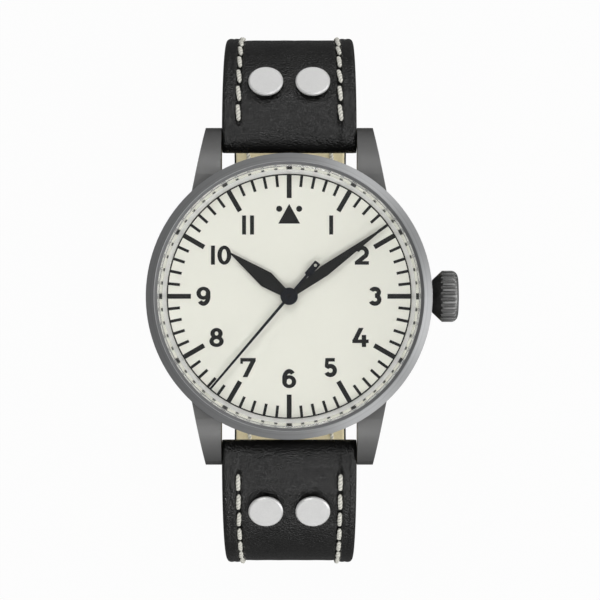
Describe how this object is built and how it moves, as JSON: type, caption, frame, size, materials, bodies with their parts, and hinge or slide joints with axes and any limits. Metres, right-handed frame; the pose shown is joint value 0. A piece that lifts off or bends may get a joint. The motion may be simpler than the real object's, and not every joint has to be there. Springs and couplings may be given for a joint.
{
  "type": "pilot watch",
  "caption": "Hand-wound pilot wristwatch with a cream dial, screwed glass back, fluted crown and a riveted leather pin-buckle strap, closed.",
  "frame": {"origin": "centre of the case back's flat outer face", "axes": "+Z out of the dial, +Y towards 12 o'clock along the strap, +X towards the crown at 3 o'clock"},
  "size_m": [0.046, 0.0807, 0.0511],
  "materials": {
    "case_middle": "matt bead-blasted",
    "case_back": "satin",
    "back_crystal": "clear",
    "back_gasket": "matt",
    "bezel": "satin",
    "crystal": "clear",
    "crystal_gasket": "matt",
    "inner_flange": "silvery white",
    "crown_tube": "satin",
    "movement_ring": "satin",
    "movement_screws": "satin",
    "dial": "cream white, matt",
    "dial_print": "matt black",
    "hour_hand": "matt black",
    "minute_hand": "matt black",
    "seconds_hand": "dark blued steel",
    "main_plate": "satin",
    "barrel_bridge": "satin",
    "train_bridge": "satin",
    "balance_bridge": "satin",
    "pallet_cock": "satin",
    "bearing_jewels": "ruby red",
    "barrel": "gilt",
    "mainspring": "satin",
    "barrel_arbor": "satin",
    "ratchet_wheel": "satin",
    "crown_wheel": "satin",
    "click": "satin",
    "centre_wheel": "gilt",
    "third_wheel": "gilt",
    "fourth_wheel": "gilt",
    "escape_wheel": "satin",
    "pallet_fork": "satin",
    "balance_wheel": "gilt",
    "hairspring": "blued",
    "cannon_pinion": "satin",
    "hour_wheel": "gilt",
    "minute_wheel": "gilt",
    "setting_wheel": "satin",
    "winding_pinion": "satin",
    "sliding_pinion": "satin",
    "winding_stem": "satin",
    "crown": "matt bead-blasted",
    "crown_gasket": "matt",
    "setting_lever": "satin",
    "yoke": "satin",
    "strap_short_top": "semi-gloss, fine grain",
    "strap_short_lining": "plain, matt",
    "strap_long_top": "semi-gloss, fine grain",
    "strap_long_lining": "plain, matt",
    "strap_rivets": "polished steel",
    "spring_bars": "satin",
    "buckle_frame": "satin",
    "buckle_tongue": "satin",
    "fixed_keeper": "semi-gloss, fine grain",
    "free_keeper": "semi-gloss, fine grain",
    "bar_tip_upper_right": "satin",
    "bar_tip_upper_left": "satin",
    "bar_tip_lower_right": "satin",
    "bar_tip_lower_left": "satin"
  },
  "bodies": {
    "case": {"case_middle": "case_middle", "case_back": "case_back", "back_crystal": "back_crystal", "back_gasket": "back_gasket", "bezel": "bezel", "crystal": "crystal", "crystal_gasket": "crystal_gasket", "inner_flange": "inner_flange", "crown_tube": "crown_tube", "movement_ring": "movement_ring", "movement_screws": "movement_screws", "dial": "dial", "dial_print": "dial_print", "main_plate": "main_plate", "barrel_bridge": "barrel_bridge", "train_bridge": "train_bridge", "balance_bridge": "balance_bridge", "pallet_cock": "pallet_cock", "bearing_jewels": "bearing_jewels", "strap_short_top": "strap_short_top", "strap_short_lining": "strap_short_lining", "strap_long_top": "strap_long_top", "strap_long_lining": "strap_long_lining", "strap_rivets": "strap_rivets", "spring_bars": "spring_bars", "fixed_keeper": "fixed_keeper"},
    "buckle": {"buckle_frame": "buckle_frame"},
    "tongue": {"buckle_tongue": "buckle_tongue"},
    "loose_keeper": {"free_keeper": "free_keeper"},
    "tip_upper_right": {"bar_tip_upper_right": "bar_tip_upper_right"},
    "tip_upper_left": {"bar_tip_upper_left": "bar_tip_upper_left"},
    "tip_lower_right": {"bar_tip_lower_right": "bar_tip_lower_right"},
    "tip_lower_left": {"bar_tip_lower_left": "bar_tip_lower_left"},
    "winding": {"winding_pinion": "winding_pinion"},
    "crown_body": {"crown": "crown", "crown_gasket": "crown_gasket", "winding_stem": "winding_stem"},
    "castle": {"sliding_pinion": "sliding_pinion"},
    "crown_wheel_body": {"crown_wheel": "crown_wheel"},
    "ratchet": {"ratchet_wheel": "ratchet_wheel", "barrel_arbor": "barrel_arbor"},
    "click_body": {"click": "click"},
    "fourth": {"fourth_wheel": "fourth_wheel", "seconds_hand": "seconds_hand"},
    "third": {"third_wheel": "third_wheel"},
    "centre": {"centre_wheel": "centre_wheel"},
    "barrel_body": {"barrel": "barrel", "mainspring": "mainspring"},
    "escape": {"escape_wheel": "escape_wheel"},
    "fork": {"pallet_fork": "pallet_fork"},
    "balance": {"balance_wheel": "balance_wheel", "hairspring": "hairspring"},
    "cannon": {"cannon_pinion": "cannon_pinion", "minute_hand": "minute_hand"},
    "hour": {"hour_wheel": "hour_wheel", "hour_hand": "hour_hand"},
    "minute": {"minute_wheel": "minute_wheel"},
    "setting": {"setting_wheel": "setting_wheel"},
    "lever": {"setting_lever": "setting_lever"},
    "yoke_body": {"yoke": "yoke"}
  },
  "joints": [
    {"name": "buckle_swing", "type": "hinge", "parent": "case", "child": "buckle", "pos_m": [0, 0, -0.0355], "axis": [-1, 0, 0], "range_deg": [0, 4]},
    {"name": "tongue_swing", "type": "hinge", "parent": "case", "child": "tongue", "pos_m": [0, 0, -0.0355], "axis": [1, 0, 0], "range_deg": [0, 8]},
    {"name": "keeper_slide", "type": "slide", "parent": "case", "child": "loose_keeper", "axis": [0, 1, 0], "range_m": [-0.0012, 0.0014]},
    {"name": "tip_upper_right_press", "type": "slide", "parent": "case", "child": "tip_upper_right", "axis": [-1, 0, 0], "range_m": [0, 0.0009], "stiffness_N_per_m": 300, "springref_m": -0.0005},
    {"name": "tip_upper_left_press", "type": "slide", "parent": "case", "child": "tip_upper_left", "axis": [1, 0, 0], "range_m": [0, 0.0009], "stiffness_N_per_m": 300, "springref_m": -0.0005},
    {"name": "tip_lower_right_press", "type": "slide", "parent": "case", "child": "tip_lower_right", "axis": [-1, 0, 0], "range_m": [0, 0.0009], "stiffness_N_per_m": 300, "springref_m": -0.0005},
    {"name": "tip_lower_left_press", "type": "slide", "parent": "case", "child": "tip_lower_left", "axis": [1, 0, 0], "range_m": [0, 0.0009], "stiffness_N_per_m": 300, "springref_m": -0.0005},
    {"name": "crown_turn", "type": "hinge", "parent": "case", "child": "winding", "pos_m": [0.012, 0, 0.0052], "axis": [1, 0, 0], "continuous": true},
    {"name": "crown_pull", "type": "slide", "parent": "winding", "child": "crown_body", "axis": [1, 0, 0], "range_m": [0, 0.001]},
    {"name": "castle_slide", "type": "slide", "parent": "winding", "child": "castle", "axis": [1, 0, 0], "range_m": [-0.0009, 0]},
    {"name": "crown_wheel_turn", "type": "hinge", "parent": "case", "child": "crown_wheel_body", "pos_m": [0.0092, 0, 0.0018], "axis": [0, 0, 1], "continuous": true},
    {"name": "ratchet_turn", "type": "hinge", "parent": "case", "child": "ratchet", "pos_m": [0.0036, 0.00624, 0.0018], "axis": [0, 0, 1], "continuous": true},
    {"name": "click_swing", "type": "hinge", "parent": "case", "child": "click_body", "pos_m": [-0.00205, 0.00924, 0.0018], "axis": [0, 0, 1], "range_deg": [0, 6], "stiffness_Nm_per_rad": 0.000001, "springref_deg": -2.86},
    {"name": "seconds_turn", "type": "hinge", "parent": "case", "child": "fourth", "pos_m": [0, 0, 0.0035], "axis": [0, 0, 1], "continuous": true},
    {"name": "third_turn", "type": "hinge", "parent": "case", "child": "third", "pos_m": [0.00275, -0.00517, 0.0032], "axis": [0, 0, 1], "continuous": true},
    {"name": "centre_turn", "type": "hinge", "parent": "case", "child": "centre", "pos_m": [0, 0, 0.0037], "axis": [0, 0, 1], "continuous": true},
    {"name": "barrel_turn", "type": "hinge", "parent": "case", "child": "barrel_body", "pos_m": [0.0036, 0.00624, 0.0045], "axis": [0, 0, 1], "continuous": true},
    {"name": "escape_turn", "type": "hinge", "parent": "case", "child": "escape", "pos_m": [-0.00509, -0.00185, 0.0043], "axis": [0, 0, 1], "continuous": true},
    {"name": "pallet_swing", "type": "hinge", "parent": "case", "child": "fork", "pos_m": [-0.00568, -0.00428, 0.004], "axis": [0, 0, 1], "range_deg": [-4, 4]},
    {"name": "balance_swing", "type": "hinge", "parent": "case", "child": "balance", "pos_m": [-0.00671, -0.00859, 0.0032], "axis": [0, 0, 1], "range_deg": [-270, 270], "stiffness_Nm_per_rad": 0.0000004, "deforming": ["hairspring"]},
    {"name": "cannon_turn", "type": "hinge", "parent": "case", "child": "cannon", "pos_m": [0, 0, 0.0062], "axis": [0, 0, 1], "continuous": true},
    {"name": "minute_wheel_turn", "type": "hinge", "parent": "case", "child": "minute", "pos_m": [0.00336, 0, 0.0062], "axis": [0, 0, 1], "continuous": true},
    {"name": "hour_turn", "type": "hinge", "parent": "case", "child": "hour", "pos_m": [0, 0, 0.0066], "axis": [0, 0, 1], "continuous": true},
    {"name": "setting_wheel_turn", "type": "hinge", "parent": "case", "child": "setting", "pos_m": [0.00672, 0, 0.0062], "axis": [0, 0, 1], "continuous": true},
    {"name": "lever_turn", "type": "hinge", "parent": "case", "child": "lever", "pos_m": [0.0135, -0.003, 0.0066], "axis": [0, 0, 1], "range_deg": [-19, 0]},
    {"name": "yoke_turn", "type": "hinge", "parent": "case", "child": "yoke_body", "pos_m": [0.00985, 0.0046, 0.0066], "axis": [0, 0, 1], "range_deg": [-11.3, 0]}
  ],
  "couplings": [
    {"joint": "castle_slide", "follows": "crown_pull", "ratio": -0.9},
    {"joint": "lever_turn", "follows": "crown_pull", "rad_per_m": -330.4},
    {"joint": "yoke_turn", "follows": "crown_pull", "rad_per_m": -195.6},
    {"joint": "crown_wheel_turn", "follows": "crown_turn", "ratio": 0.54545},
    {"joint": "ratchet_turn", "follows": "crown_turn", "ratio": -0.37091},
    {"joint": "third_turn", "follows": "seconds_turn", "ratio": -0.13333},
    {"joint": "centre_turn", "follows": "seconds_turn", "ratio": 0.016667},
    {"joint": "barrel_turn", "follows": "seconds_turn", "ratio": -0.002381},
    {"joint": "escape_turn", "follows": "seconds_turn", "ratio": -12},
    {"joint": "minute_wheel_turn", "follows": "cannon_turn", "ratio": -0.33333},
    {"joint": "hour_turn", "follows": "cannon_turn", "ratio": 0.083333},
    {"joint": "setting_wheel_turn", "follows": "cannon_turn", "ratio": 1}
  ]
}
